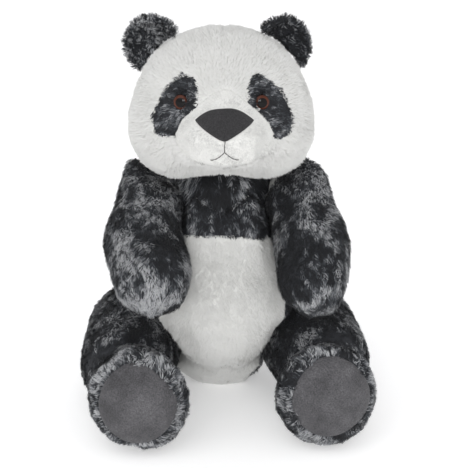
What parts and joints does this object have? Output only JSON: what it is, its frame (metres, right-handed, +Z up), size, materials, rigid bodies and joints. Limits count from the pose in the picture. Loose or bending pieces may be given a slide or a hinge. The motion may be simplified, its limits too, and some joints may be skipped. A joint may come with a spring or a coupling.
{
  "type": "plush panda",
  "caption": "Seated soft toy panda with cupped ears, domed glossy eyes, a bulging muzzle, a pale belly, drooping arms and forward-facing feet with smooth soles.",
  "frame": {"origin": "middle of the bounding box's footprint, on the surface the toy sits on", "axes": "+Z up, -Y the way the face looks, +X to the toy's own left"},
  "size_m": [0.2426, 0.2307, 0.3325],
  "materials": {
    "dark_plush": "short pile, charcoal mottled with pale frosted tips",
    "white_plush": "short dense off-white pile",
    "velour": "smooth short-nap velour, charcoal grey",
    "thread": "twisted sewing thread, near black",
    "fibre": "loose polyester fibre",
    "pouch_cloth": "plain woven cloth around pellets",
    "eye_black": "polished moulded plastic",
    "eye_brown": "painted reddish-brown ring under gloss",
    "washer_plastic": "natural moulded plastic"
  },
  "bodies": {
    "torso": {"torso_panel_left": "dark_plush", "torso_panel_right": "dark_plush", "belly_panel": "white_plush", "torso_stuffing": "fibre", "bean_pouch": "pouch_cloth", "back_closing_stitch": "thread"},
    "neck": {"neck_skin": "dark_plush", "neck_stuffing": "fibre"},
    "head": {"head_panel_left": "white_plush", "head_panel_right": "white_plush", "head_stuffing": "fibre", "muzzle_skin": "white_plush", "nose_patch": "velour", "mouth_stitch": "thread", "left_eye_patch": "dark_plush", "right_eye_patch": "dark_plush", "left_eye_lens": "eye_black", "right_eye_lens": "eye_black", "left_eye_iris": "eye_brown", "right_eye_iris": "eye_brown", "left_eye_shank": "eye_black", "right_eye_shank": "eye_black", "left_eye_washer": "washer_plastic", "right_eye_washer": "washer_plastic"},
    "left_ear": {"left_ear_front": "dark_plush", "left_ear_back": "dark_plush"},
    "right_ear": {"right_ear_front": "dark_plush", "right_ear_back": "dark_plush"},
    "left_arm": {"left_arm_skin": "dark_plush", "left_arm_stuffing": "fibre"},
    "right_arm": {"right_arm_skin": "dark_plush", "right_arm_stuffing": "fibre"},
    "left_leg": {"left_leg_skin": "dark_plush", "left_leg_stuffing": "fibre", "left_sole": "velour"},
    "right_leg": {"right_leg_skin": "dark_plush", "right_leg_stuffing": "fibre", "right_sole": "velour"},
    "tail": {"tail_skin": "white_plush", "tail_stuffing": "fibre"}
  },
  "joints": [
    {"name": "neck_turn", "type": "hinge", "parent": "torso", "child": "neck", "pos_m": [-0.004, 0.0113, 0.199], "axis": [0, 0, 1], "range_deg": [-12, 12], "stiffness_Nm_per_rad": 0.6},
    {"name": "head_nod", "type": "hinge", "parent": "neck", "child": "head", "pos_m": [-0.004, 0.0113, 0.199], "axis": [1, 0, 0], "range_deg": [-8, 3], "stiffness_Nm_per_rad": 3},
    {"name": "left_ear_fold", "type": "hinge", "parent": "head", "child": "left_ear", "pos_m": [0.045, 0.0113, 0.3085], "axis": [0.6712, 0, -0.7413], "range_deg": [-10, 15], "stiffness_Nm_per_rad": 0.05},
    {"name": "right_ear_fold", "type": "hinge", "parent": "head", "child": "right_ear", "pos_m": [-0.055, 0.0113, 0.307], "axis": [0.6314, 0, 0.7755], "range_deg": [-10, 15], "stiffness_Nm_per_rad": 0.05},
    {"name": "left_arm_lift", "type": "hinge", "parent": "torso", "child": "left_arm", "pos_m": [0.056, 0.0033, 0.194], "axis": [-1, 0, 0], "range_deg": [0, 20], "stiffness_Nm_per_rad": 0.5},
    {"name": "right_arm_lift", "type": "hinge", "parent": "torso", "child": "right_arm", "pos_m": [-0.061, 0.0033, 0.194], "axis": [-1, 0, 0], "range_deg": [0, 20], "stiffness_Nm_per_rad": 0.5},
    {"name": "left_leg_splay", "type": "hinge", "parent": "torso", "child": "left_leg", "pos_m": [0.068, 0.0153, 0.056], "axis": [0, 0, 1], "range_deg": [-1, 15], "stiffness_Nm_per_rad": 0.6},
    {"name": "right_leg_splay", "type": "hinge", "parent": "torso", "child": "right_leg", "pos_m": [-0.078, 0.0153, 0.056], "axis": [0, 0, 1], "range_deg": [-15, 1], "stiffness_Nm_per_rad": 0.6},
    {"name": "tail_lift", "type": "hinge", "parent": "torso", "child": "tail", "pos_m": [-0.004, 0.0873, 0.048], "axis": [1, 0, 0], "range_deg": [-10, 12], "stiffness_Nm_per_rad": 0.05}
  ]
}
